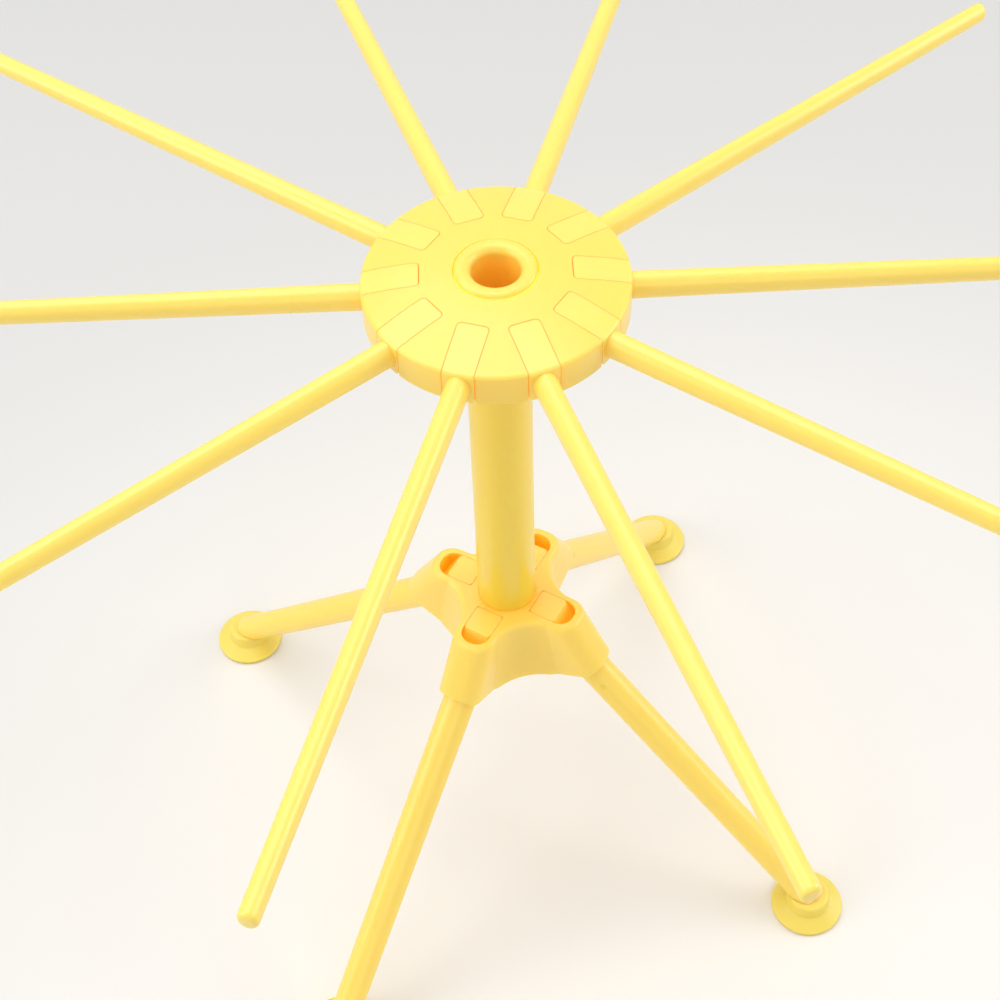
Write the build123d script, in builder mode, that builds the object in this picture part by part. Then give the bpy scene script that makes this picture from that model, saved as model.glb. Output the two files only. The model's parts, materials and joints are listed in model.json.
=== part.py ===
"""Folding pasta drying rack: ten arms on a turning hub, a hollow post and four folding legs.

Millimetres, +Z up. The origin is on the floor, under the post. Arm 1 lies along +X.
"""
import os
from math import atan2, cos, degrees, hypot, radians, sin, sqrt

from build123d import *

os.makedirs("parts", exist_ok=True)

# Overall sizes
rack_height = 293.8
arm_reach = 215.0
foot_spread = 135.4
arm_count = 10
leg_count = 4
leg_phase = 58.4

# Clearances and cuts
wall_gap = 0.25
slot_gap = 0.15
pin_gap = 0.08
slide_fit = 0.05
overrun = 5.0

# Hub
hub_radius = 41.3
hub_rim_depth = 11.0
hub_crown_rise = 3.7
hub_crown_swell = 0.75
hub_rim_round = 1.3
hub_lower_round = 0.7
hub_core_width = 9.47
slot_corner = 1.6
slot_mouth = 0.6
hub_web_thickness = 3.8

# Crown ring, the flanged bush that holds the hub on the post
ring_lip = 2.2
ring_stand = 1.1
ring_thickness = 4.9
ring_outer_round = 1.7
ring_inner_round = 2.7
ring_gap = 0.3
spigot_length = 22.0
spigot_wall = 1.25
bore_clearance = 0.45

# Post
post_radius = 10.6
post_wall = 1.7
post_plug_depth = 18.0

# Arms
arm_block_width = 9.7
arm_block_corner = 1.4
arm_knuckle_radius = 5.4
arm_trunnion_radius = 2.0
arm_trunnion_reach = 2.2
rod_root_inset = 4.0
rod_root_width = 7.6
rod_root_height = 9.4
rod_tip_width = 5.8
rod_tip_height = 7.2
rod_tip_round = 1.5

# Hub retainer and its screws
retainer_margin = 5.3
retainer_thickness = 2.0
collar_wall = 3.0
hub_screw_inset = 4.72
hub_screw_count = 5

# Screws
screw_radius = 1.25
screw_length = 8.5
screw_head_radius = 2.3
screw_head_height = 1.3

# Base
base_top_height = 128.4
base_depth = 30.0
star_tuck = 0.6
star_inset = 2.8
star_flare = 6.3
base_edge_round = 2.0
base_socket_wall = 1.55
leg_slot_lip = 1.4
leg_slot_inner_corner = 0.5
leg_slot_outer_corner = 5.0
cover_inset = 1.1
cover_prong_end = 0.6
cover_thickness = 2.0
base_screw_margin = 3.4

# Hoods over the leg roots
hood_end_wall = 2.4
hood_length = 24.1
hood_wall = 1.65
hood_round = 6.6
hood_lip_rise = 3.7
hood_heel_reach = 4.4

# Legs
leg_root_radius = 6.2
leg_tip_radius = 5.6
leg_pivot_drop = 7.95
leg_end_height = 7.4
leg_neck_length = 6.0
leg_block_width = 10.6
leg_block_top_reach = 3.9
leg_block_corner = 1.2
leg_shoulder_round = 1.2
leg_swing_gap = 0.95
leg_trunnion_radius = 2.3
leg_trunnion_reach = 1.3

# Feet
foot_radius = 14.0
foot_rim_height = 1.5
foot_skirt_width = 1.0
foot_skirt_height = 4.4
foot_neck_wall = 1.95
foot_neck_height = 9.6
foot_rim_round = 0.6
foot_neck_round = 1.2

# Heights and radii worked out from the sizes above
crown_z = rack_height - ring_stand
hub_rim_z = crown_z - hub_crown_rise
hub_bottom_z = hub_rim_z - hub_rim_depth
arm_pivot_z = hub_bottom_z + arm_knuckle_radius
hub_bore_radius = post_radius + pin_gap
collar_radius = hub_bore_radius + collar_wall
slot_inner_radius = collar_radius + hub_core_width
arm_block_inner_radius = slot_inner_radius + wall_gap
arm_pivot_radius = arm_block_inner_radius + arm_knuckle_radius
arm_slot_width = arm_block_width + 2 * slot_gap
arm_slot_length = hub_radius - slot_inner_radius + overrun
arm_slot_middle = slot_inner_radius + arm_slot_length / 2
arm_trunnion_span = arm_block_width + 2 * arm_trunnion_reach

ring_seat_z = rack_height - ring_thickness
web_top_z = ring_seat_z - pin_gap
web_bottom_z = web_top_z - hub_web_thickness
post_top_z = web_bottom_z - pin_gap
post_bore_radius = post_radius - post_wall
ring_radius = post_radius + ring_lip
ring_bore_radius = post_bore_radius - slide_fit - spigot_wall
retainer_radius = hub_radius - retainer_margin
retainer_bore_radius = collar_radius + slide_fit
hub_screw_circle = collar_radius + hub_screw_inset

base_bottom_z = base_top_height - base_depth
post_bottom_z = base_top_height - post_plug_depth
leg_pivot_z = base_top_height - leg_pivot_drop
leg_slot_inner_radius = post_radius + base_socket_wall
leg_block_inner_radius = leg_slot_inner_radius + wall_gap
leg_pivot_radius = leg_block_inner_radius + leg_root_radius
leg_channel_width = 2 * leg_root_radius + 2 * wall_gap
leg_slot_width = leg_block_width + 2 * slot_gap
leg_trunnion_span = 2 * leg_root_radius + 2 * leg_trunnion_reach
leg_run = foot_spread - leg_pivot_radius
leg_drop = leg_pivot_z - leg_end_height
leg_length = hypot(leg_run, leg_drop)
leg_slope = degrees(atan2(leg_drop, leg_run))
leg_swing_reach = (leg_block_top_reach * leg_run + leg_pivot_drop * leg_drop) / leg_length
leg_slot_outer_radius = leg_pivot_radius + leg_swing_reach + leg_swing_gap
hood_half_width = leg_root_radius + wall_gap + hood_wall
hood_ridge_radius = leg_slot_outer_radius + hood_end_wall
hood_heel_radius = leg_pivot_radius + hood_heel_reach
star_half_width = hood_half_width - star_tuck
star_top_corner = leg_slot_outer_radius - star_inset
star_bottom_corner = star_top_corner + star_flare
cover_radius = leg_pivot_radius - cover_inset
cover_reach = leg_pivot_radius + leg_trunnion_radius + cover_prong_end
base_screw_circle = cover_radius - base_screw_margin

foot_neck_radius = leg_tip_radius + slide_fit + foot_neck_wall
foot_skirt_radius = foot_neck_radius + foot_skirt_width


def leg_point(along, across):
    """A point in a leg's side view, along its axis from the pivot and across it, upward positive."""
    slope = radians(leg_slope)
    radius = leg_pivot_radius + along * cos(slope) + across * sin(slope)
    height = leg_pivot_z - along * sin(slope) + across * cos(slope)
    return (radius, height)


def leg_section(along):
    """The plane across a leg at a distance along its axis from the pivot."""
    slope = radians(leg_slope)
    radius, height = leg_point(along, 0)
    return Plane(origin=(radius, 0, height), x_dir=(0, 1, 0), z_dir=(cos(slope), 0, -sin(slope)))


def turned(piece, angle):
    """A copy of a finished piece, turned about the post."""
    with BuildPart() as copy:
        add(piece.part, rotation=(0, 0, angle))
    return copy.part


def save(part, name):
    """Labels a finished piece and writes it out."""
    part.label = name
    export_step(part, "parts/" + name + ".step")


def screw_set(circle, count, start_angle, seat_z):
    """A ring of pan head screws, driven upward, with their heads in counterbores below seat_z."""
    with BuildPart() as screws:
        with BuildSketch(Plane.XY.offset(seat_z - screw_head_height)):
            with PolarLocations(circle, count, start_angle=start_angle):
                Circle(screw_head_radius)
        extrude(amount=screw_head_height)
        with BuildSketch(Plane.XY.offset(seat_z)):
            with PolarLocations(circle, count, start_angle=start_angle):
                Circle(screw_radius)
        extrude(amount=screw_length)
    return screws


# Outer form of the hub, a shallow dome on a soft rim, shared by the hub and the arm blocks
crown_middle = ((hub_radius + ring_radius) / 2, (hub_rim_z + crown_z) / 2 + hub_crown_swell)
with BuildPart() as hub_form:
    with BuildSketch(Plane.XZ) as form_sketch:
        with BuildLine():
            Polyline(
                (0, hub_bottom_z),
                (hub_radius, hub_bottom_z),
                (hub_radius, hub_rim_z),
            )
            ThreePointArc((hub_radius, hub_rim_z), crown_middle, (ring_radius, crown_z))
            Polyline((ring_radius, crown_z), (0, crown_z), (0, hub_bottom_z))
        make_face()
        rim_corners = form_sketch.vertices().group_by(Axis.X)[-1].sort_by(Axis.Y)
        fillet(rim_corners[-1], hub_rim_round)
        fillet(rim_corners[0], hub_lower_round)
    revolve(axis=Axis.Z)

# Hub: ten slots open at the top, the rim and the bottom, and sockets for the arm trunnions
mouth_length = slot_mouth + overrun
with BuildPart() as hub_body:
    add(hub_form.part)
    with BuildSketch(Plane.XY.offset(web_top_z)):
        Circle(ring_radius + ring_gap)
    extrude(amount=ring_thickness + overrun, mode=Mode.SUBTRACT)
    with BuildSketch(Plane.XY.offset(hub_bottom_z)):
        Circle(post_bore_radius + bore_clearance)
    extrude(amount=hub_rim_depth, mode=Mode.SUBTRACT)
    with BuildSketch(Plane.XY.offset(hub_bottom_z)):
        Circle(hub_bore_radius)
    extrude(amount=web_bottom_z - hub_bottom_z, mode=Mode.SUBTRACT)
    with BuildSketch(Plane.XY.offset(hub_bottom_z)):
        Circle(retainer_radius + slide_fit)
        Circle(collar_radius, mode=Mode.SUBTRACT)
    extrude(amount=retainer_thickness, mode=Mode.SUBTRACT)
    with BuildSketch(Plane.XY.offset(hub_bottom_z - overrun)):
        with PolarLocations(arm_slot_middle, arm_count):
            RectangleRounded(arm_slot_length, arm_slot_width, slot_corner)
        with PolarLocations(hub_radius - slot_mouth, arm_count):
            Polygon(
                (0, arm_slot_width / 2),
                (mouth_length, mouth_length + arm_slot_width / 2),
                (mouth_length, -mouth_length - arm_slot_width / 2),
                (0, -arm_slot_width / 2),
                align=None,
            )
    extrude(amount=hub_rim_depth + hub_crown_rise + 2 * overrun, mode=Mode.SUBTRACT)
    with BuildSketch(Plane.XY.offset(hub_bottom_z)):
        with PolarLocations(arm_pivot_radius, arm_count):
            Rectangle(2 * (arm_trunnion_radius + pin_gap), arm_trunnion_span + 2 * slot_gap)
    extrude(amount=arm_knuckle_radius, mode=Mode.SUBTRACT)
    with Locations((0, 0, arm_pivot_z)):
        with PolarLocations(arm_pivot_radius, arm_count):
            Cylinder(
                arm_trunnion_radius + pin_gap,
                arm_trunnion_span + 2 * slot_gap,
                rotation=(90, 0, 0),
                mode=Mode.SUBTRACT,
            )
    with BuildSketch(Plane.XY.offset(hub_bottom_z)):
        with PolarLocations(hub_screw_circle, hub_screw_count, start_angle=180 / arm_count):
            Circle(screw_radius + slide_fit)
    extrude(amount=screw_length + screw_head_height, mode=Mode.SUBTRACT)

# Retainer under the hub: a ring with ten fingers, whose lugs close the trunnion sockets
lug_height = arm_knuckle_radius - arm_trunnion_radius - pin_gap
with BuildPart() as hub_retainer:
    with BuildSketch(Plane.XY.offset(hub_bottom_z)):
        Circle(retainer_radius)
        Circle(retainer_bore_radius, mode=Mode.SUBTRACT)
    extrude(amount=retainer_thickness)
    with BuildSketch(Plane.XY.offset(hub_bottom_z)):
        with PolarLocations(arm_pivot_radius, arm_count):
            Rectangle(2 * (arm_trunnion_radius - slide_fit), arm_trunnion_span)
    extrude(amount=lug_height)
    with BuildSketch(Plane.XY.offset(hub_bottom_z - overrun)):
        with PolarLocations(arm_slot_middle, arm_count):
            RectangleRounded(arm_slot_length, arm_slot_width, slot_corner)
    extrude(amount=lug_height + 2 * overrun, mode=Mode.SUBTRACT)
    with BuildSketch(Plane.XY.offset(hub_bottom_z)):
        with PolarLocations(hub_screw_circle, hub_screw_count, start_angle=180 / arm_count):
            Circle(screw_radius + slide_fit)
    extrude(amount=retainer_thickness, mode=Mode.SUBTRACT)
    with BuildSketch(Plane.XY.offset(hub_bottom_z)):
        with PolarLocations(hub_screw_circle, hub_screw_count, start_angle=180 / arm_count):
            Circle(screw_head_radius + slide_fit)
    extrude(amount=screw_head_height, mode=Mode.SUBTRACT)

hub_screws = screw_set(
    hub_screw_circle, hub_screw_count, 180 / arm_count, hub_bottom_z + screw_head_height
)

# Arm: a block that fills its slot flush, an oval rod that tapers to the tip, and two trunnions
with BuildPart() as arm:
    with BuildSketch(Plane.XZ):
        with BuildLine():
            Polyline(
                (arm_block_inner_radius, arm_pivot_z),
                (arm_block_inner_radius, crown_z),
                (hub_radius, crown_z),
                (hub_radius, hub_bottom_z),
                (arm_pivot_radius, hub_bottom_z),
            )
            CenterArc((arm_pivot_radius, arm_pivot_z), arm_knuckle_radius, 180, 90)
        make_face()
    extrude(amount=arm_block_width / 2, both=True)
    fillet(arm.edges().filter_by(Axis.Z).group_by(Axis.X)[0], arm_block_corner)
    add(hub_form.part, mode=Mode.INTERSECT)
    with BuildSketch(Plane.YZ.offset(hub_radius - rod_root_inset)):
        with Locations((0, arm_pivot_z)):
            Ellipse(rod_root_width / 2, rod_root_height / 2)
    with BuildSketch(Plane.YZ.offset(arm_reach)):
        with Locations((0, arm_pivot_z)):
            Ellipse(rod_tip_width / 2, rod_tip_height / 2)
    loft()
    fillet(arm.edges().sort_by(Axis.X)[-1], rod_tip_round)
    with BuildSketch(Plane.XZ.offset(-arm_trunnion_span / 2)):
        with Locations((arm_pivot_radius, arm_pivot_z)):
            Circle(arm_trunnion_radius)
    extrude(amount=arm_trunnion_span)

# Crown ring: rounded flange above the hub, spigot down into the post
with BuildPart() as crown_ring:
    with BuildSketch(Plane.XY.offset(ring_seat_z)):
        Circle(ring_radius)
    extrude(amount=ring_thickness)
    with BuildSketch(Plane.XY.offset(ring_seat_z)):
        Circle(post_bore_radius - slide_fit)
    extrude(amount=-spigot_length)
    with BuildSketch(Plane.XY.offset(ring_seat_z - spigot_length)):
        Circle(ring_bore_radius)
    extrude(amount=spigot_length + ring_thickness, mode=Mode.SUBTRACT)
    lip_edges = crown_ring.edges().group_by(Axis.Z)[-1].sort_by(SortBy.RADIUS)
    fillet(lip_edges[-1], ring_outer_round)
    lip_edges = crown_ring.edges().group_by(Axis.Z)[-1].sort_by(SortBy.RADIUS)
    fillet(lip_edges[0], ring_inner_round)

# Post: a plain tube from the socket in the base to the underside of the hub's web
with BuildPart() as post:
    with BuildSketch(Plane.XY.offset(post_bottom_z)):
        Circle(post_radius)
        Circle(post_bore_radius, mode=Mode.SUBTRACT)
    extrude(amount=post_top_z - post_bottom_z)


def star_sketch(height, corner):
    """A square with a round waist cut from each corner, so that four short ends stay, from above."""
    with BuildSketch(Plane.XY.offset(height)) as star:
        Rectangle(2 * corner, 2 * corner)
        with PolarLocations(sqrt(2) * corner, leg_count, start_angle=180 / leg_count):
            Circle(corner - star_half_width, mode=Mode.SUBTRACT)
    return star


# Hood, in the frame of the first leg: its rounded ridge falls to a nose cut square to the leg
hood_nose = leg_point(hood_length, hood_half_width)
hood_depth = (leg_point(hood_length, 0)[1] - base_bottom_z) / cos(radians(leg_slope))
with BuildPart() as hood:
    with BuildSketch(Plane.XZ):
        with BuildLine():
            Polyline(
                (0, base_bottom_z),
                (0, base_top_height),
                (hood_ridge_radius, base_top_height),
                hood_nose,
                leg_point(hood_length, -hood_depth),
                close=True,
            )
        make_face()
    extrude(amount=hood_half_width, both=True)
    ridge_face = hood.faces().filter_by(Axis.X, reverse=True).filter_by(Axis.Z, reverse=True)
    ridge_face = ridge_face.filter_by(Axis.Y, reverse=True).sort_by(Axis.Z)[-1]
    nose_edges = ridge_face.edges().filter_by(Axis.Y, reverse=True)
    fillet(nose_edges, hood_round)

# Base: the star with four hoods, slots for the leg blocks and a socket for the post
leg_slot_length = leg_slot_outer_radius - leg_slot_inner_radius
leg_slot_middle = leg_slot_inner_radius + leg_slot_length / 2
leg_slot_rest = leg_slot_length - leg_slot_outer_corner
leg_slot_start = leg_slot_inner_radius + leg_slot_rest / 2
channel_start = leg_neck_length - wall_gap
channel_end = leg_point(hood_length + overrun, 0)
channel_inner_radius = leg_pivot_radius - leg_root_radius / 2
hood_lip = leg_point(hood_length, hood_lip_rise)
with BuildPart() as base_hub:
    top_star = star_sketch(base_top_height, star_top_corner)
    bottom_star = star_sketch(base_bottom_z, star_bottom_corner)
    loft([bottom_star.sketch, top_star.sketch], ruled=True)
    for turn in range(leg_count):
        add(hood.part, rotation=(0, 0, turn * 360 / leg_count))
    fillet(base_hub.edges().group_by(Axis.Z)[-1], base_edge_round)
    with BuildSketch(Plane.XY.offset(post_bottom_z)):
        Circle(post_radius + slide_fit)
    extrude(amount=post_plug_depth + overrun, mode=Mode.SUBTRACT)
    with BuildSketch(Plane.XY.offset(base_top_height - leg_slot_lip)):
        with PolarLocations(leg_slot_middle, leg_count):
            RectangleRounded(leg_slot_length, leg_slot_width, leg_slot_outer_corner)
        with PolarLocations(leg_slot_start, leg_count):
            RectangleRounded(leg_slot_rest, leg_slot_width, leg_slot_inner_corner)
    extrude(amount=leg_slot_lip + overrun, mode=Mode.SUBTRACT)
    with BuildSketch(Plane.XY.offset(base_bottom_z - overrun)):
        with PolarLocations(leg_slot_middle, leg_count):
            RectangleRounded(leg_slot_length, leg_slot_width, leg_slot_inner_corner)
    extrude(amount=base_depth + overrun - leg_slot_lip, mode=Mode.SUBTRACT)
    for turn in range(leg_count):
        side_plane = Plane.XZ.rotated((0, 0, turn * 360 / leg_count))
        with BuildSketch(side_plane):
            with BuildLine():
                Polyline(
                    (channel_inner_radius, base_bottom_z - overrun),
                    (channel_inner_radius, leg_pivot_z - channel_start),
                    (leg_pivot_radius, leg_pivot_z - channel_start),
                    leg_point(channel_start, 0),
                    channel_end,
                    (channel_end[0], base_bottom_z - overrun),
                    close=True,
                )
            make_face()
        extrude(amount=leg_channel_width / 2, both=True, mode=Mode.SUBTRACT)
        with BuildSketch(side_plane):
            with BuildLine():
                Polyline(
                    (hood_heel_radius, base_bottom_z - overrun),
                    (hood_heel_radius, base_bottom_z),
                    hood_lip,
                    (hood_lip[0], base_bottom_z - overrun),
                    close=True,
                )
            make_face()
        extrude(amount=star_half_width + overrun, both=True, mode=Mode.SUBTRACT)
    with BuildSketch(leg_section(channel_start)) as channel_sketch:
        Circle(leg_channel_width / 2)
    channel = extrude(channel_sketch.sketch, amount=hood_length + overrun, mode=Mode.PRIVATE)
    for turn in range(leg_count):
        add(channel, rotation=(0, 0, turn * 360 / leg_count), mode=Mode.SUBTRACT)
    with BuildSketch(Plane.XY.offset(base_bottom_z)):
        Circle(cover_radius + slide_fit)
        with PolarLocations(cover_reach / 2, leg_count):
            Rectangle(cover_reach + 2 * slide_fit, leg_trunnion_span + 2 * slide_fit)
    extrude(amount=cover_thickness, mode=Mode.SUBTRACT)
    with BuildSketch(Plane.XY.offset(base_bottom_z)):
        with PolarLocations(leg_pivot_radius, leg_count):
            Rectangle(2 * (leg_trunnion_radius + pin_gap), leg_trunnion_span + 2 * slot_gap)
    extrude(amount=leg_pivot_z - base_bottom_z, mode=Mode.SUBTRACT)
    with Locations((0, 0, leg_pivot_z)):
        with PolarLocations(leg_pivot_radius, leg_count):
            Cylinder(
                leg_trunnion_radius + pin_gap,
                leg_trunnion_span + 2 * slot_gap,
                rotation=(90, 0, 0),
                mode=Mode.SUBTRACT,
            )
    with BuildSketch(Plane.XY.offset(base_bottom_z)):
        with PolarLocations(base_screw_circle, leg_count, start_angle=180 / leg_count):
            Circle(screw_radius + slide_fit)
    extrude(amount=screw_length + screw_head_height, mode=Mode.SUBTRACT)

# Bottom cover of the base: a disc with a prong each side of every leg, whose lugs close the sockets
leg_lug_height = leg_pivot_z - leg_trunnion_radius - pin_gap - base_bottom_z
with BuildPart() as base_cover:
    with BuildSketch(Plane.XY.offset(base_bottom_z)):
        Circle(cover_radius)
        with PolarLocations(cover_reach / 2, leg_count):
            Rectangle(cover_reach, leg_trunnion_span)
    extrude(amount=cover_thickness)
    with BuildSketch(Plane.XY.offset(base_bottom_z)):
        with PolarLocations(leg_pivot_radius, leg_count):
            Rectangle(2 * (leg_trunnion_radius - slide_fit), leg_trunnion_span)
    extrude(amount=leg_lug_height)
    with BuildSketch(Plane.XY.offset(base_bottom_z - overrun)):
        with PolarLocations(leg_slot_middle, leg_count):
            Rectangle(leg_slot_length, leg_channel_width)
    extrude(amount=leg_lug_height + 2 * overrun, mode=Mode.SUBTRACT)
    with BuildSketch(Plane.XY.offset(base_bottom_z)):
        with PolarLocations(base_screw_circle, leg_count, start_angle=180 / leg_count):
            Circle(screw_radius + slide_fit)
    extrude(amount=cover_thickness, mode=Mode.SUBTRACT)
    with BuildSketch(Plane.XY.offset(base_bottom_z)):
        with PolarLocations(base_screw_circle, leg_count, start_angle=180 / leg_count):
            Circle(screw_head_radius + slide_fit)
    extrude(amount=screw_head_height, mode=Mode.SUBTRACT)

base_screws = screw_set(
    base_screw_circle, leg_count, 180 / leg_count, base_bottom_z + screw_head_height
)

# Leg, in its own frame along +X: a block flush with the base, a tapered round rod, two trunnions
with BuildPart() as leg:
    with BuildSketch(Plane.XZ):
        with BuildLine():
            block_side = Polyline(
                (leg_block_inner_radius, leg_pivot_z),
                (leg_block_inner_radius, base_top_height),
                (leg_pivot_radius + leg_block_top_reach, base_top_height),
                leg_point(leg_neck_length, leg_root_radius),
                leg_point(leg_neck_length, -leg_root_radius),
                leg_point(0, -leg_root_radius),
            )
            RadiusArc(block_side @ 1, block_side @ 0, -leg_root_radius)
        make_face()
    extrude(amount=leg_block_width / 2, both=True)
    fillet(leg.edges().filter_by(Axis.Z).group_by(Axis.X)[0], leg_block_corner)
    shoulder_edges = leg.edges().filter_by(Axis.Y, reverse=True).group_by(Axis.X)
    fillet(shoulder_edges[-1] + shoulder_edges[-2], leg_shoulder_round)
    with BuildSketch(leg_section(leg_neck_length)):
        Circle(leg_root_radius)
    with BuildSketch(leg_section(leg_length)):
        Circle(leg_tip_radius)
    loft()
    with BuildSketch(Plane.XZ.offset(-leg_trunnion_span / 2)):
        with Locations((leg_pivot_radius, leg_pivot_z)):
            Circle(leg_trunnion_radius)
    extrude(amount=leg_trunnion_span)

# Foot, in the same frame: a thin disc that rises to a round neck over the leg's end
with BuildPart() as foot:
    with BuildSketch(Plane.XZ):
        with BuildLine():
            Polyline(
                (0, 0),
                (foot_radius, 0),
                (foot_radius, foot_rim_height),
                (foot_skirt_radius, foot_skirt_height),
                (foot_neck_radius, foot_neck_height),
                (0, foot_neck_height),
                close=True,
            )
        make_face()
    revolve(axis=Axis.Z)
    fillet(foot.edges().filter_by(GeomType.CIRCLE).group_by(Axis.Z)[-1], foot_neck_round)
    foot_rim = foot.edges().filter_by(GeomType.CIRCLE).sort_by(SortBy.RADIUS)[-2:]
    fillet(foot_rim, foot_rim_round)
leg_taper = (leg_root_radius - leg_tip_radius) / (leg_length - leg_neck_length)
socket_length = 2 * foot_neck_height
with BuildPart() as foot_pad:
    with Locations((foot_spread, 0, 0)):
        add(foot.part)
    with BuildSketch(leg_section(leg_length)) as socket_end:
        Circle(leg_tip_radius + slide_fit)
    with BuildSketch(leg_section(leg_length - socket_length)) as socket_mouth:
        Circle(leg_tip_radius + leg_taper * socket_length + slide_fit)
    loft([socket_mouth.sketch, socket_end.sketch], mode=Mode.SUBTRACT)

save(hub_body.part, "hub_body")
save(hub_retainer.part, "hub_retainer")
save(hub_screws.part, "hub_screws")
save(crown_ring.part, "crown_ring")
save(post.part, "post")
save(turned(base_hub, leg_phase), "base_hub")
save(turned(base_cover, leg_phase), "base_cover")
save(turned(base_screws, leg_phase), "base_screws")
for number in range(arm_count):
    save(turned(arm, number * 360 / arm_count), "arm_" + str(number + 1))
for number in range(leg_count):
    angle = leg_phase + number * 360 / leg_count
    save(turned(leg, angle), "leg_" + str(number + 1))
    save(turned(foot_pad, angle), "foot_" + str(number + 1))
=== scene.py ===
"""Looks of the folding pasta drying rack: moulded yellow plastic, softer feet and plated screws.

Metres, +Z up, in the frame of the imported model. Arm 1 lies along +X and the front is -Y.
"""

import json
import logging
import math
from dataclasses import dataclass
from enum import Enum
from typing import Any, Iterable, Mapping, Optional, Union

import bpy
import numpy as np
from mathutils import Matrix, Vector


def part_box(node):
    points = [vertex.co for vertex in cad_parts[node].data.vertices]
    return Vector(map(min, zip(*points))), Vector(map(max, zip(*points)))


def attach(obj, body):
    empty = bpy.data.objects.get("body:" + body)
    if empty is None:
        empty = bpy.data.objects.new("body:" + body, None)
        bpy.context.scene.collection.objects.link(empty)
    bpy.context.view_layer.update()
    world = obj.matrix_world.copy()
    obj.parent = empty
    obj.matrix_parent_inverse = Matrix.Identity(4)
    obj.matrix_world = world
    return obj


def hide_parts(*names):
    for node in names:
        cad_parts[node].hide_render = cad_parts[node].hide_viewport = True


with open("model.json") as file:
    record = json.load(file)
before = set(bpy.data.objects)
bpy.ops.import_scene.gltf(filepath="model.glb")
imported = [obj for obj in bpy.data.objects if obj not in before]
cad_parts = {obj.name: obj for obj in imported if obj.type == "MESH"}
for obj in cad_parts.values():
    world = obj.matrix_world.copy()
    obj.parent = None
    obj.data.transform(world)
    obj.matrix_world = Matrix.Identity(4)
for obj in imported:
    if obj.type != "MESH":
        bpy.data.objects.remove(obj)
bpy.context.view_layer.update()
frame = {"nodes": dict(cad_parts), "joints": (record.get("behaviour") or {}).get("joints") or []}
MM = 0.001
EVEN = 0.5  # the middle of a noise's range
FULL_TURN = 2.0 * math.pi
WHITE = (1.0, 1.0, 1.0)
BLACK = (0.0, 0.0, 0.0)
YELLOW = (1.0, 0.71, 0.12)
PALE_YELLOW = (1.0, 0.80, 0.26)

# Where the share, the two colours and the mixed colour stand among a Mix node's sockets
MIX_SHARE, MIX_FIRST, MIX_SECOND, MIX_RESULT = 0, 6, 7, 2

Colour = tuple[float, float, float]
Triple = tuple[float, float, float]
Span = tuple[float, float]

log = logging.getLogger("rack")


class Field:
    """A number that varies over a surface, carried by a node's output socket.

    Arithmetic on a field adds Math nodes, so that a mask is written as an expression.
    """

    def __init__(self, tree: "Tree", socket: bpy.types.NodeSocket) -> None:
        """Keeps the tree that the socket belongs to."""
        self.tree = tree
        self.socket = socket

    def maths(self, operation: str, first: "Number", second: "Number" = 0.0) -> "Field":
        """Adds one Math node.

        Args:
            operation: the Math node's operation.
            first: a field or a plain number.
            second: a field or a plain number.

        Returns:
            The result as a field.
        """
        node = self.tree.add("ShaderNodeMath", {"operation": operation}, {0: first, 1: second})
        return Field(self.tree, node.outputs[0])

    def __add__(self, other: "Number") -> "Field":
        """Returns self + other."""
        return self.maths("ADD", self, other)

    def __radd__(self, other: "Number") -> "Field":
        """Returns other + self."""
        return self.maths("ADD", other, self)

    def __sub__(self, other: "Number") -> "Field":
        """Returns self - other."""
        return self.maths("SUBTRACT", self, other)

    def __rsub__(self, other: "Number") -> "Field":
        """Returns other - self."""
        return self.maths("SUBTRACT", other, self)

    def __mul__(self, other: "Number") -> "Field":
        """Returns self * other."""
        return self.maths("MULTIPLY", self, other)

    def __rmul__(self, other: "Number") -> "Field":
        """Returns other * self."""
        return self.maths("MULTIPLY", other, self)

    def __truediv__(self, other: "Number") -> "Field":
        """Returns self / other."""
        return self.maths("DIVIDE", self, other)

    def __rtruediv__(self, other: "Number") -> "Field":
        """Returns other / self."""
        return self.maths("DIVIDE", other, self)

    def __pow__(self, other: "Number") -> "Field":
        """Returns self to the power of other."""
        return self.maths("POWER", self, other)

    def size(self) -> "Field":
        """Returns the value without its sign."""
        return self.maths("ABSOLUTE", self)

    def ramp(self, low: float, high: float) -> "Field":
        """Returns 0 at or below low and 1 at or above high, with a smooth rise between them."""
        node = self.tree.add(
            "ShaderNodeMapRange",
            {"interpolation_type": "SMOOTHSTEP"},
            {0: self, 1: low, 2: high},
        )
        return Field(self.tree, node.outputs[0])


Number = Union[float, Field]


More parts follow.
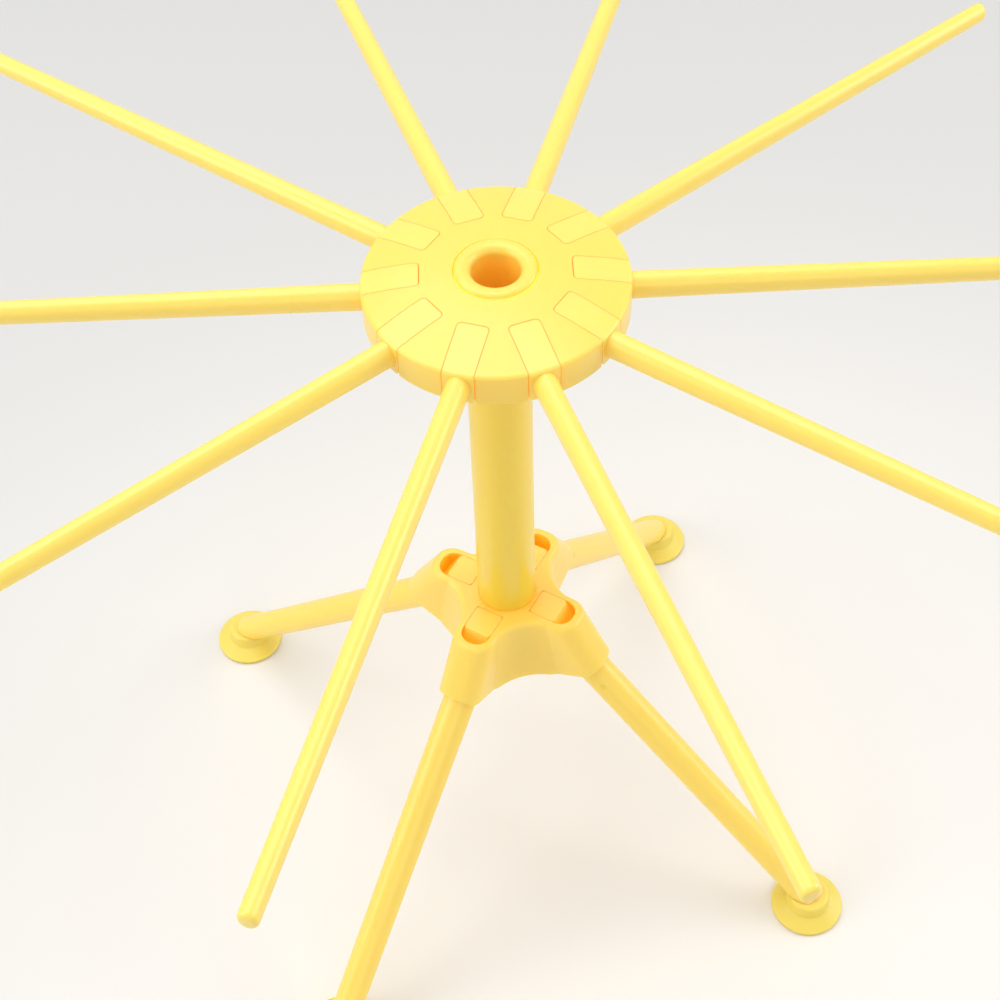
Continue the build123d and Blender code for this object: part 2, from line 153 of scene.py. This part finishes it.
class Tree:
    """The node tree of one material, or of the surround."""

    def __init__(self, owner: Union[bpy.types.Material, bpy.types.World]) -> None:
        """Empties the owner's node tree, ready for new nodes."""
        self.owner = owner
        owner.use_nodes = True
        self.nodes = owner.node_tree.nodes
        self.links = owner.node_tree.links
        self.nodes.clear()
        coordinates = self.add("ShaderNodeTexCoord", {}, {})
        self.place = coordinates.outputs["Object"]

    def add(self, kind: str, settings: Mapping[str, Any], sockets: Mapping[Any, Any]) -> bpy.types.Node:
        """Adds one node of any type.

        Args:
            kind: the node's type.
            settings: the node's own properties, set first; "stops" holds a ramp's stops.
            sockets: a number, colour, field or output socket for each input, by index or name.

        Returns:
            The new node.
        """
        node = self.nodes.new(kind)
        for name, value in settings.items():
            if name == "stops":
                ramp = node.color_ramp
                while len(ramp.elements) < len(value):
                    ramp.elements.new(1.0)
                for element, (position, colour) in zip(ramp.elements, value):
                    element.position = position
                    element.color = (*colour, 1.0)
            else:
                setattr(node, name, value)
        for key, value in sockets.items():
            source = value.socket if isinstance(value, Field) else value
            if isinstance(source, bpy.types.NodeSocket):
                self.links.new(source, node.inputs[key])
            else:
                node.inputs[key].default_value = source
        return node

    def blend(self, share: Number, first: Any, second: Any) -> bpy.types.NodeSocket:
        """Mixes two colours.

        Args:
            share: how much of the second colour shows, from 0 to 1.
            first: a colour or a colour socket.
            second: a colour or a colour socket.

        Returns:
            The mixed colour's socket.
        """
        colours = [(*c, 1.0) if isinstance(c, tuple) else c for c in (first, second)]
        sockets = {MIX_SHARE: share, MIX_FIRST: colours[0], MIX_SECOND: colours[1]}
        return self.add("ShaderNodeMix", {"data_type": "RGBA"}, sockets).outputs[MIX_RESULT]

    def vector_value(self, operation: str, first: Any, second: Any) -> Field:
        """Adds one Vector Math node whose result is a number.

        Args:
            operation: the Vector Math node's operation.
            first: a vector or a vector socket.
            second: a vector or a vector socket.

        Returns:
            The number as a field.
        """
        node = self.add("ShaderNodeVectorMath", {"operation": operation}, {0: first, 1: second})
        return Field(self, node.outputs["Value"])

    def along(self, direction: Triple) -> Field:
        """Returns the distance of a point from the origin, measured along a unit direction."""
        return self.vector_value("DOT_PRODUCT", self.place, direction)

    def far_from(self, centre: Triple) -> Field:
        """Returns the distance of a point from a centre."""
        return self.vector_value("DISTANCE", self.place, centre)

    def stretched(self, axes: "Axes", scales: Triple) -> bpy.types.NodeSocket:
        """Returns coordinates along a piece's own three axes, each times its scale."""
        parts = [self.along(axis) * scale for axis, scale in zip(axes.rows(), scales)]
        node = self.add("ShaderNodeCombineXYZ", {}, {0: parts[0], 1: parts[1], 2: parts[2]})
        return node.outputs[0]

    def noise(self, vector: bpy.types.NodeSocket, scale: float, detail: float = 2.0) -> Field:
        """Returns soft noise from 0 to 1 at that scale."""
        node = self.add("ShaderNodeTexNoise", {}, {"Vector": vector, "Scale": scale, "Detail": detail})
        return Field(self, node.outputs[0])

    def surface(self, shader: bpy.types.Node) -> bpy.types.Material:
        """Connects a shader to the output and returns the material."""
        self.add("ShaderNodeOutputMaterial", {}, {"Surface": shader.outputs[0]})
        return self.owner


@dataclass(frozen=True)
class Axes:
    """A piece's own directions: along its length, to its side and out of its upper face."""

    length: Triple = (1.0, 0.0, 0.0)
    side: Triple = (0.0, 1.0, 0.0)
    face: Triple = (0.0, 0.0, 1.0)

    def rows(self) -> tuple[Triple, Triple, Triple]:
        """Returns the three directions."""
        return (self.length, self.side, self.face)

    @classmethod
    def radial(cls, turn: float, fall: float = 0.0) -> "Axes":
        """Axes of a rod that points outward at an angle and falls below level.

        Args:
            turn: the angle about the post, in radians from +X.
            fall: the slope below level, in radians.

        Returns:
            Unit directions along the rod, to its left and out of its top.
        """
        outward = (math.cos(turn), math.sin(turn))
        return cls(
            length=(math.cos(fall) * outward[0], math.cos(fall) * outward[1], -math.sin(fall)),
            side=(-outward[1], outward[0], 0.0),
            face=(math.sin(fall) * outward[0], math.sin(fall) * outward[1], math.cos(fall)),
        )


@dataclass(frozen=True)
class Seam:
    """The fine raised line where the two halves of a mould met, in the plane through a point."""

    normal: Triple
    through: Triple
    half_width: float = 0.16 * MM

    def height(self, tree: Tree) -> Field:
        """Returns 1 on the line, falling smoothly to 0 beside it."""
        offset = sum(n * p for n, p in zip(self.normal, self.through))
        return 1.0 - (tree.along(self.normal) - offset).size().ramp(0.0, self.half_width)


@dataclass(frozen=True)
class Dimple:
    """A small round hollow, such as a gate or ejector mark."""

    centre: Triple
    radius: float
    flat_share: float = 0.2

    def height(self, tree: Tree) -> Field:
        """Returns 0 outside the hollow, falling smoothly to -1 on the flat at its centre."""
        return tree.far_from(self.centre).ramp(self.flat_share * self.radius, self.radius) - 1.0


@dataclass(frozen=True)
class MouldedPlastic:
    """Glossy moulded plastic with a fine grain, flow lines, soft edges and light handling marks, with
    painted shade and a painted glow in its hollows and a painted highlight on its edges.
    """

    name: str
    colour: Colour
    # Colour of the painted shade and the painted glow in hollows, and of the random mottle
    mottle_shade_and_glow_colour: Colour
    # Paler colour for real scuff wear and for the painted highlight on edges
    wear_and_highlight_colour: Colour
    roughness: float = 0.34
    rough_by_flow: float = 0.10
    rough_by_scuff: float = 0.14
    rough_by_occlusion: float = 0.12
    smooth_by_edge: float = 0.06
    grain_height: float = 0.012 * MM
    grain_scale: float = 2600.0
    mottle_scale: float = 38.0
    mottle_tint: float = 0.10
    flow_scales: Triple = (9.0, 420.0, 420.0)
    flow_relief: float = 0.8
    scuff_scales: Triple = (90.0, 1500.0, 1500.0)
    scuff_span: Span = (0.66, 0.74)
    scuff_patch_span: Span = (0.45, 0.65)
    scuff_wear: float = 0.10
    scuff_relief: float = 0.5
    edge_round: float = 0.35 * MM
    edge_span: Span = (0.01, 0.2)
    # Painted highlight: share by which rounded edges are paled
    painted_edge_highlight: float = 0.30
    # Ambient occlusion mask: it paints shade and a glow into hollows and roughens them
    occlusion_reach: float = 9.0 * MM
    occlusion_span: Span = (0.1, 0.95)
    painted_shade_strength: float = 0.7
    mark_height: float = 0.12 * MM
    seam_share: float = 0.35
    dimple_share: float = 3.0
    refraction: float = 1.49
    subsurface: float = 0.45
    subsurface_radius: Colour = (1.0, 0.55, 0.12)
    subsurface_scale: float = 4.0 * MM
    # Painted glow: occluded hollows emit the deep amber colour, standing in for light bounced inside
    # them
    painted_glow_span: Span = (0.25, 1.0)
    painted_glow_strength: float = 0.18
    coat: float = 0.25
    coat_roughness: float = 0.18
    samples: int = 4

    def material(
        self,
        label: str,
        axes: Axes = Axes(),
        seam: Optional[Seam] = None,
        dimples: Iterable[Dimple] = (),
    ) -> bpy.types.Material:
        """Builds the finish for one piece.

        Args:
            label: the piece's name.
            axes: the piece's own directions, which the flow lines follow.
            seam: the parting line, if it shows.
            dimples: round hollows in the surface.

        Returns:
            The material.
        """
        tree = Tree(bpy.data.materials.new(self.name + "_" + label))
        soft = tree.add("ShaderNodeBevel", {"samples": self.samples}, {"Radius": self.edge_round})
        shape = tree.add("ShaderNodeNewGeometry", {}, {})
        facing = tree.vector_value("DOT_PRODUCT", soft.outputs[0], shape.outputs["Normal"])
        edge = (1.0 - facing).ramp(*self.edge_span)
        # Ambient occlusion: occluded hollows get painted shade, a painted glow and more roughness
        hidden = tree.add(
            "ShaderNodeAmbientOcclusion", {"samples": self.samples}, {"Distance": self.occlusion_reach}
        )
        occlusion_mask = (1.0 - Field(tree, hidden.outputs["AO"])).ramp(*self.occlusion_span)

        mottle = tree.noise(tree.place, self.mottle_scale)
        grain = tree.noise(tree.place, self.grain_scale, detail=1.0)
        flow = tree.noise(tree.stretched(axes, self.flow_scales), 1.0, detail=3.0) - EVEN
        scuff = tree.noise(tree.stretched(axes, self.scuff_scales), 1.0).ramp(*self.scuff_span)
        scuff = scuff * mottle.ramp(*self.scuff_patch_span)

        # Painted shade: occluded hollows shift towards the deep amber colour; the mottle adds random
        # tone
        shade_and_mottle_share = occlusion_mask * self.painted_shade_strength + (mottle - EVEN) * self.mottle_tint
        # Real scuff wear plus a painted highlight that pales rounded edges
        wear_and_highlight_share = edge * self.painted_edge_highlight + scuff * self.scuff_wear
        body = tree.blend(shade_and_mottle_share, self.colour, self.mottle_shade_and_glow_colour)
        body = tree.blend(wear_and_highlight_share, body, self.wear_and_highlight_colour)
        roughness = self.roughness + flow * self.rough_by_flow + scuff * self.rough_by_scuff
        roughness = roughness + occlusion_mask * self.rough_by_occlusion - edge * self.smooth_by_edge
        # Painted glow: hollows emit the deep amber colour, standing in for light bounced inside them
        painted_glow = tree.blend(occlusion_mask.ramp(*self.painted_glow_span), BLACK, self.mottle_shade_and_glow_colour)

        relief = grain + flow * self.flow_relief - scuff * self.scuff_relief
        mark_share = self.mark_height / self.grain_height
        if seam is not None:
            relief = relief + seam.height(tree) * (self.seam_share * mark_share)
        for dimple in dimples:
            relief = relief + dimple.height(tree) * (self.dimple_share * mark_share)
        bump = tree.add(
            "ShaderNodeBump",
            {},
            {
                "Strength": 1.0,
                "Distance": self.grain_height,
                "Height": relief,
                "Normal": soft.outputs[0],
            },
        )
        shader = tree.add(
            "ShaderNodeBsdfPrincipled",
            {},
            {
                "Base Color": body,
                "Roughness": roughness,
                "Normal": bump.outputs[0],
                "IOR": self.refraction,
                "Subsurface Weight": self.subsurface,
                "Subsurface Radius": self.subsurface_radius,
                "Subsurface Scale": self.subsurface_scale,
                "Coat Weight": self.coat,
                "Coat Roughness": self.coat_roughness,
                # Painted glow in hollows
                "Emission Color": painted_glow,
                "Emission Strength": self.painted_glow_strength,
            },
        )
        return tree.surface(shader)


@dataclass(frozen=True)
class PlatedSteel:
    """Zinc plated steel with duller clouds and a fine grain."""

    name: str
    colour: Colour = (0.62, 0.62, 0.60)
    dull_colour: Colour = (0.42, 0.41, 0.38)
    roughness: float = 0.32
    rough_by_cloud: float = 0.25
    cloud_scale: float = 700.0
    cloud_span: Span = (0.4, 0.7)
    grain_scale: float = 5200.0
    grain_height: float = 0.02 * MM
    grain_strength: float = 0.5

    def material(self, label: str) -> bpy.types.Material:
        """Builds the metal for one piece and returns it."""
        tree = Tree(bpy.data.materials.new(self.name + "_" + label))
        cloud = tree.noise(tree.place, self.cloud_scale)
        grain = tree.noise(tree.place, self.grain_scale, detail=1.0)
        body = tree.blend(cloud.ramp(*self.cloud_span), self.colour, self.dull_colour)
        bump = tree.add(
            "ShaderNodeBump",
            {},
            {"Strength": self.grain_strength, "Distance": self.grain_height, "Height": grain},
        )
        shader = tree.add(
            "ShaderNodeBsdfPrincipled",
            {},
            {
                "Base Color": body,
                "Metallic": 1.0,
                "Roughness": self.roughness + (cloud - EVEN) * self.rough_by_cloud,
                "Normal": bump.outputs[0],
            },
        )
        return tree.surface(shader)


class Finish(Enum):
    """The plastics of the rack. The ring gets a paler painted shade and a much stronger painted glow in
    its bore.
    """

    BODY = MouldedPlastic(
        "body_plastic",
        colour=YELLOW,
        mottle_shade_and_glow_colour=(1.0, 0.53, 0.01),
        wear_and_highlight_colour=PALE_YELLOW,
    )
    RING = MouldedPlastic(
        "ring_plastic",
        colour=YELLOW,
        mottle_shade_and_glow_colour=(1.0, 0.66, 0.01),
        wear_and_highlight_colour=PALE_YELLOW,
        painted_glow_strength=0.95,
    )
    # Painted shade: a darker, more saturated copy of the body plastic for the post, which sits in the
    # hub's shade
    POST = MouldedPlastic(
        "post_plastic",
        colour=(1.0, 0.66, 0.06),
        mottle_shade_and_glow_colour=(1.0, 0.51, 0.01),
        wear_and_highlight_colour=PALE_YELLOW,
    )
    # Painted light: a paler copy of the body plastic for the rods, which catch more light; the lower
    # roughness is the finish's own
    ARM = MouldedPlastic(
        "arm_plastic",
        colour=(1.0, 0.75, 0.15),
        mottle_shade_and_glow_colour=(1.0, 0.53, 0.02),
        wear_and_highlight_colour=(1.0, 0.84, 0.32),
        roughness=0.30,
    )
    FOOT = MouldedPlastic(
        "foot_plastic",
        colour=(0.86, 0.69, 0.125),
        mottle_shade_and_glow_colour=(0.60, 0.42, 0.03),
        wear_and_highlight_colour=(0.95, 0.80, 0.26),
        roughness=0.42,
        grain_height=0.02 * MM,
        coat=0.1,
    )


def mesh_from_grids(name: str, grids: Iterable[np.ndarray], capped_ends: bool) -> bpy.types.Object:
    """Makes one mesh object from grids of points, each a stack of closed rings.

    Rows are joined to the next row and each row's last point to its first, so face (i, j) has the
    corners (i, j), (i, j + 1), (i + 1, j + 1) and (i + 1, j). A fan of triangles round the ring's
    middle closes the first row, and the last row too where both ends are capped.

    Args:
        name: the object's name.
        grids: arrays of rings x sides x 3.
        capped_ends: whether the last ring is closed too.

    Returns:
        The new object, linked to the scene.
    """
    points: list[list[float]] = []
    faces: list[list[int]] = []
    for grid in grids:
        rows, sides = grid.shape[:2]
        first = len(points)
        points += grid.reshape(-1, 3).tolist()
        i, j = np.meshgrid(np.arange(rows - 1), np.arange(sides), indexing="ij")
        after = (j + 1) % sides
        low, high = i * sides, (i + 1) * sides
        corners = np.stack([low + j, low + after, high + after, high + j])
        faces += (first + corners.reshape(4, -1).T).tolist()
        side = np.arange(sides)
        following = (side + 1) % sides
        caps = [(following, side, grid[0])]
        if capped_ends:
            last = (rows - 1) * sides
            caps.append((last + side, last + following, grid[-1]))
        for start, end, ring in caps:
            middle = len(points)
            points.append(ring.mean(axis=0).tolist())
            faces += [[first + a, first + b, middle] for a, b in zip(start.tolist(), end.tolist())]
    mesh = bpy.data.meshes.new(name)
    mesh.from_pydata(points, [], faces)
    mesh.polygons.foreach_set("use_smooth", np.ones(len(mesh.polygons), bool))
    mesh.validate()
    piece = bpy.data.objects.new(name, mesh)
    bpy.context.scene.collection.objects.link(piece)
    return piece


def dress(piece: bpy.types.Object, material: bpy.types.Material) -> None:
    """Puts one material in every slot of a piece."""
    if not piece.material_slots:
        piece.data.materials.append(material)
    for slot in piece.material_slots:
        slot.material = material


def joint_pivot(name: str) -> Vector:
    """Returns a point on a joint's axis."""
    return next(Vector(joint["pos_m"]) for joint in frame["joints"] if joint["name"] == name)


@dataclass
class ScrewRing:
    """A ring of self-tapping screws with domed heads, driven upward from below."""

    node: str
    body: str
    circle_radius: float
    count: int
    first_turn: float
    head_radius: float = 2.3 * MM
    head_height: float = 1.3 * MM
    shank_radius: float = 1.2 * MM
    thread_pitch: float = 1.0 * MM
    thread_depth: float = 0.28 * MM
    recess_reach: float = 1.25 * MM
    recess_half_width: float = 0.3 * MM
    recess_depth: float = 0.8 * MM
    recess_side_share: float = 0.4
    recess_end_share: float = 0.35
    dome_share: float = 0.25
    middle_share: float = 0.02
    ridge_power: int = 3
    tip_share: float = 0.25
    sides: int = 48
    head_rings: int = 22
    thread_rings: int = 84

    def screw(self, low: float, high: float) -> np.ndarray:
        """Works out one screw on the post's axis as a grid of rings.

        The head's rings run from the middle of the drive out to the rim. The dome rises towards the
        rim by the square of the radius share, and the cross recess sinks where the smaller of |x| and
        |y| is under the cross's half width. The shank's rings climb from the head. Their radius is
        the thread's root plus the thread depth times a ridge that turns with the height,
        (1 + cos(angle - turns)) / 2 to a power, and it tapers to a point over the tip's share.

        Args:
            low: the height of the head's face.
            high: the height of the screw's tip.

        Returns:
            An array of rings x sides x 3.
        """
        angle = np.linspace(0.0, FULL_TURN, self.sides, endpoint=False)[None, :]
        share = np.linspace(self.middle_share, 1.0, self.head_rings)[:, None]
        radius = self.head_radius * share + 0.0 * angle
        x, y = radius * np.cos(angle), radius * np.sin(angle)
        narrow = np.minimum(np.abs(x), np.abs(y))
        side_slope = self.recess_side_share * self.recess_half_width
        end_slope = self.recess_end_share * self.recess_reach
        across = np.clip((self.recess_half_width - narrow) / side_slope + 1.0, 0.0, 1.0)
        along = np.clip((self.recess_reach - radius) / end_slope, 0.0, 1.0)
        dome = self.dome_share * self.head_height * share ** 2
        head = np.stack([x, y, low + dome + self.recess_depth * across * along], axis=-1)

        seat = low + self.head_height
        climb = np.linspace(0.0, 1.0, self.thread_rings)[:, None]
        height = seat + (high - seat) * climb
        turns = FULL_TURN * (height - seat) / self.thread_pitch
        ridge = ((1.0 + np.cos(angle - turns)) / 2.0) ** self.ridge_power
        taper = np.clip((1.0 - climb) / self.tip_share, self.middle_share, 1.0)
        reach = (self.shank_radius - self.thread_depth + self.thread_depth * ridge) * taper
        shank = np.stack([reach * np.cos(angle), reach * np.sin(angle), height + 0.0 * angle], axis=-1)

        rim = head[-1:].copy()
        rim[..., 2] = seat
        return np.concatenate([head, rim, shank])

    def build(self, steel: PlatedSteel) -> bpy.types.Object:
        """Builds every screw of the ring as one mesh in place of its CAD node.

        Args:
            steel: the screws' finish.

        Returns:
            The finished piece.
        """
        low, high = (corner.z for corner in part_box(self.node))
        one = self.screw(low, high)
        turns = self.first_turn + FULL_TURN * np.arange(self.count) / self.count
        circle = np.stack([np.cos(turns), np.sin(turns), np.zeros(self.count)], axis=-1)
        places = self.circle_radius * circle
        piece = mesh_from_grids(self.node + "_threaded", [one + place for place in places], True)
        dress(piece, steel.material(piece.name))
        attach(piece, self.body)
        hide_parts(self.node)
        log.info("%s: %d screws", self.node, self.count)
        return piece


@dataclass
class Hub:
    """The turning hub: its body, the crown ring in the middle, the retainer below and its screws."""

    screw_circle: float = 18.4 * MM
    screw_count: int = 5
    first_screw_turn: float = math.radians(18.0)

    def build(self) -> None:
        """Dresses the hub's pieces and builds its screws."""
        # The crown ring's bore gets the stronger painted glow
        plastics = {"hub_body": Finish.BODY, "hub_retainer": Finish.BODY, "crown_ring": Finish.RING}
        for name, plastic in plastics.items():
            dress(frame["nodes"][name], plastic.value.material(name))
            log.info("%s dressed", name)
        turn = self.first_screw_turn
        screws = ScrewRing("hub_screws", "hub", self.screw_circle, self.screw_count, turn)
        screws.build(PlatedSteel("plated_steel"))


@dataclass
class Arms:
    """The ten drying rods, each with the mould's parting line along its sides."""

    count: int = 10

    def build(self) -> None:
        """Dresses each rod with its own directions, so that its flow lines run along it."""
        for number in range(1, self.count + 1):
            name = f"arm_{number}"
            pivot = joint_pivot(name + "_fold")
            axes = Axes.radial(math.atan2(pivot.y, pivot.x))
            seam = Seam(axes.face, tuple(pivot))
            # The rods wear the paler painted-light copy of the body plastic
            dress(frame["nodes"][name], Finish.ARM.value.material(name, axes, seam))
            log.info("%s dressed", name)


@dataclass
class Post:
    """The hollow post, drawn lengthwise."""

    def build(self) -> None:
        """Dresses the post with flow lines that run up it, in the painted-shade copy of the body
        plastic.
        """
        upright = Axes((0.0, 0.0, 1.0), (1.0, 0.0, 0.0), (0.0, 1.0, 0.0))
        dress(frame["nodes"]["post"], Finish.POST.value.material("post", upright))
        log.info("post dressed")


@dataclass
class Base:
    """The hooded base, its bottom cover and the cover's screws."""

    screw_circle: float = 14.1 * MM
    screw_count: int = 4
    first_screw_turn: float = math.radians(58.4 + 45.0)

    def build(self) -> None:
        """Dresses the base's pieces and builds its screws."""
        plastic = Finish.BODY.value
        for name in ("base_hub", "base_cover"):
            dress(frame["nodes"][name], plastic.material(name))
            log.info("%s dressed", name)
        turn = self.first_screw_turn
        screws = ScrewRing("base_screws", "stand", self.screw_circle, self.screw_count, turn)
        screws.build(PlatedSteel("plated_steel"))


@dataclass
class Legs:
    """The four folding legs and their disc feet."""

    count: int = 4
    end_height: float = 7.4 * MM
    rod_radius: float = 6.1 * MM
    mark_along: float = 32.0 * MM
    mark_side: float = math.radians(62.0)
    mark_radius: float = 1.3 * MM

    def build(self) -> None:
        """Dresses each leg and foot with the leg's own directions."""
        for number in range(1, self.count + 1):
            leg, foot = f"leg_{number}", f"foot_{number}"
            pivot = joint_pivot(leg + "_fold")
            low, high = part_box(foot)
            end = (low + high) / 2.0
            end.z = self.end_height
            turn = math.atan2(pivot.y, pivot.x)
            fall = math.atan2(pivot.z - end.z, (end.xy - pivot.xy).length)
            axes = Axes.radial(turn, fall)
            seam = Seam(axes.face, tuple(pivot))
            mark = self.mark_place(pivot, axes)
            dimples = (Dimple(mark, self.mark_radius),)
            dress(frame["nodes"][leg], Finish.BODY.value.material(leg, axes, seam, dimples))
            dress(frame["nodes"][foot], Finish.FOOT.value.material(foot, Axes.radial(turn)))
            log.info("%s and %s dressed", leg, foot)

    def mark_place(self, pivot: Vector, axes: Axes) -> Triple:
        """Works out where the gate mark lies on a leg's skin.

        Args:
            pivot: a point on the leg's hinge.
            axes: the leg's own directions.

        Returns:
            The mark's centre, on the side that faces the front of the rack.
        """
        length, side, face = (Vector(axis) for axis in axes.rows())
        outward = face * math.cos(self.mark_side) - side * math.sin(self.mark_side)
        return tuple(pivot + length * self.mark_along + outward * self.rod_radius)


@dataclass(frozen=True)
class SoftBox:
    """A square area lamp that points at the rack."""

    name: str
    place: Triple
    width: float
    power: float
    colour: Colour = (1.0, 1.0, 1.0)
    target: Triple = (0.0, 0.0, 0.2)

    def build(self) -> bpy.types.Object:
        """Makes the lamp, turned so that its face looks at its target, and returns it."""
        data = bpy.data.lights.new(self.name, "AREA")
        data.shape = "SQUARE"
        data.size = self.width
        data.energy = self.power
        data.color = self.colour
        lamp = bpy.data.objects.new(self.name, data)
        lamp.location = self.place
        look = Vector(self.target) - Vector(self.place)
        lamp.rotation_euler = look.to_track_quat("-Z", "Y").to_euler()
        bpy.context.scene.collection.objects.link(lamp)
        return lamp


@dataclass(frozen=True)
class PhotoCamera:
    """The camera at the photograph's viewing angle, found from the rack's own outline."""

    place: Triple = (-5.36 * MM, -392.6 * MM, 675.05 * MM)
    pan: float = 0.01037
    tilt: float = 0.89933
    roll: float = -0.03731
    lens_mm: float = 65.11
    sensor_mm: float = 36.0

    def build(self) -> bpy.types.Object:
        """Makes the camera, turned by pan, tilt and roll, and returns it."""
        level = math.cos(self.tilt)
        flat = Vector((math.sin(self.pan), math.cos(self.pan), 0.0))
        ahead = flat * level - Vector((0.0, 0.0, math.sin(self.tilt)))
        right = ahead.cross(Vector((0.0, 0.0, 1.0))).normalized()
        up = right.cross(ahead)
        across = right * math.cos(self.roll) + up * math.sin(self.roll)
        upward = up * math.cos(self.roll) - right * math.sin(self.roll)
        data = bpy.data.cameras.new("photo_camera")
        data.lens = self.lens_mm
        data.sensor_width = self.sensor_mm
        data.clip_start = 0.01
        camera = bpy.data.objects.new("photo_camera", data)
        turn = Matrix((across, upward, -ahead)).transposed()
        camera.matrix_world = Matrix.Translation(self.place) @ turn.to_4x4()
        bpy.context.scene.collection.objects.link(camera)
        return camera


@dataclass
class Studio:
    """A pale floor, soft lamps and a pale surround."""

    floor_radius: float = 6.0
    floor_drop: float = 0.3 * MM
    # Painted pool of light: the floor's colour is paler near a point beside the rack and darker away
    # from it
    painted_pool_colour: Colour = (0.87, 0.855, 0.835)
    painted_falloff_colour: Colour = (0.665, 0.67, 0.67)
    painted_pool_centre: Triple = (0.08, -0.13, 0.0)
    painted_pool_span: Span = (0.08, 0.55)
    fade_span: Span = (0.8, 2.5)
    first_ring: float = 0.0005
    roughness: float = 0.75
    gloss: float = 0.15
    grain_scale: float = 900.0
    grain_height: float = 0.02 * MM
    grain_strength: float = 0.2
    surround: float = 0.56
    shown_surround: float = 0.92
    light_colour: Colour = (1.0, 0.97, 0.93)
    rings: int = 60
    sides: int = 96
    lamps: tuple[SoftBox, ...] = (
        SoftBox("top_lamp", (-0.25, 0.25, 1.5), 1.3, 11.7),
        SoftBox("left_lamp", (-1.3, -0.3, 0.7), 0.9, 6.4),
        SoftBox("right_lamp", (1.3, 0.1, 0.7), 0.9, 7.0),
        SoftBox("front_lamp", (0.1, -1.6, 0.6), 0.9, 2.6),
    )

    def floor(self) -> bpy.types.Object:
        """Builds the floor as a disc whose rings widen with the square of their number.

        Its colour is a painted pool of light, paler near the rack and darker away from it. Far from the
        rack the floor fades into the surround where the camera sees it.

        Returns:
            The floor.
        """
        share = np.linspace(0.0, 1.0, self.rings)[:, None] ** 2
        angle = np.linspace(0.0, FULL_TURN, self.sides, endpoint=False)[None, :]
        radius = self.floor_radius * (self.first_ring + share)
        x, y = radius * np.cos(angle), radius * np.sin(angle)
        points = np.stack([x, y, np.full_like(x, -self.floor_drop)], axis=-1)
        floor = mesh_from_grids("floor", [points[:, ::-1]], False)
        tree = Tree(bpy.data.materials.new("floor_paint"))
        away = tree.far_from(self.painted_pool_centre)
        grain = tree.noise(tree.place, self.grain_scale)
        bump = tree.add(
            "ShaderNodeBump",
            {},
            {"Strength": self.grain_strength, "Distance": self.grain_height, "Height": grain},
        )
        shader = tree.add(
            "ShaderNodeBsdfPrincipled",
            {},
            {
                # Painted pool of light
                "Base Color": tree.blend(away.ramp(*self.painted_pool_span), self.painted_pool_colour, self.painted_falloff_colour),
                "Roughness": self.roughness,
                "Normal": bump.outputs[0],
                "Specular IOR Level": self.gloss,
            },
        )
        path = tree.add("ShaderNodeLightPath", {}, {})
        faded = away.ramp(*self.fade_span) * Field(tree, path.outputs["Is Camera Ray"])
        pale = tree.add("ShaderNodeEmission", {}, {0: (*WHITE, 1.0), 1: self.shown_surround})
        floors = {0: faded, 1: shader.outputs[0], 2: pale.outputs[0]}
        dress(floor, tree.surface(tree.add("ShaderNodeMixShader", {}, floors)))
        return floor

    def world(self) -> None:
        """Makes the surround: pale where the camera, gloss or glass sees it, and dimmer as a light."""
        world = bpy.data.worlds.new("studio")
        bpy.context.scene.world = world
        tree = Tree(world)
        path = tree.add("ShaderNodeLightPath", {}, {})
        seen = Field(tree, path.outputs["Is Camera Ray"])
        for ray in ("Is Glossy Ray", "Is Transmission Ray"):
            seen = seen.maths("MAXIMUM", seen, Field(tree, path.outputs[ray]))
        light = tree.add("ShaderNodeBackground", {}, {0: (*self.light_colour, 1.0), 1: self.surround})
        shown = tree.add("ShaderNodeBackground", {}, {0: (*WHITE, 1.0), 1: self.shown_surround})
        mixed = tree.add("ShaderNodeMixShader", {}, {0: seen, 1: light.outputs[0], 2: shown.outputs[0]})
        tree.add("ShaderNodeOutputWorld", {}, {0: mixed.outputs[0]})

    def build(self) -> None:
        """Makes the floor, the surround, the lamps and the camera."""
        self.floor()
        self.world()
        for lamp in self.lamps:
            lamp.build()
        scene = bpy.context.scene
        scene.camera = PhotoCamera().build()
        scene.view_settings.view_transform = "Standard"
        log.info("studio built")


def main() -> None:
    """Builds and dresses each sub-assembly in order, then the studio round it."""
    logging.basicConfig(level=logging.INFO, format="%(message)s")
    for assembly in (Hub(), Arms(), Post(), Base(), Legs()):
        assembly.build()
    Studio().build()


if __name__ == "__main__":
    main()
